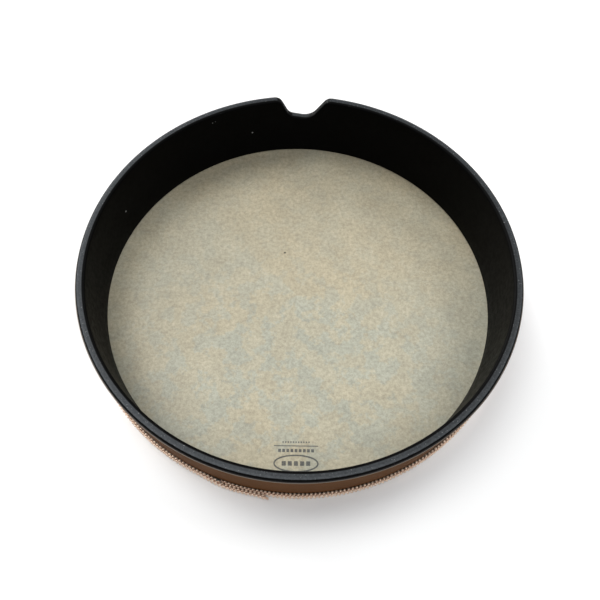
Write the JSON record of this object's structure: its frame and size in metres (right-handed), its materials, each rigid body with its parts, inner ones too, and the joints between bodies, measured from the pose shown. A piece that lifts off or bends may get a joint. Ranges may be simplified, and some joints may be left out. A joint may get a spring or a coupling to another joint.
{
  "type": "bodhran",
  "caption": "Shallow frame drum lying on its parchment-look head, with a black hoop, a thumb notch in the open edge, a brown covering and gimp braid edging.",
  "frame": {"origin": "centre of the playing face, the flat outer face of the head that the drum rests on", "axes": "+Z from the playing face up to the open edge; +Y towards the thumb notch; +X to the right when looking along +Y"},
  "size_m": [0.4158, 0.4184, 0.064],
  "materials": {
    "shell_black": "satin black coating on fibre board",
    "covering_brown": "satin brown covering sheet",
    "head_film": "mottled parchment-look film",
    "adhesive": "cured clear adhesive",
    "braid": "woven gimp braid, copper pink"
  },
  "bodies": {
    "root": {"shell_hoop": "shell_black", "wrap_adhesive": "adhesive", "outer_wrap": "covering_brown", "drumhead_film": "head_film", "head_adhesive_ring": "adhesive", "braid_adhesive": "adhesive", "braid_trim": "braid"}
  },
  "joints": []
}
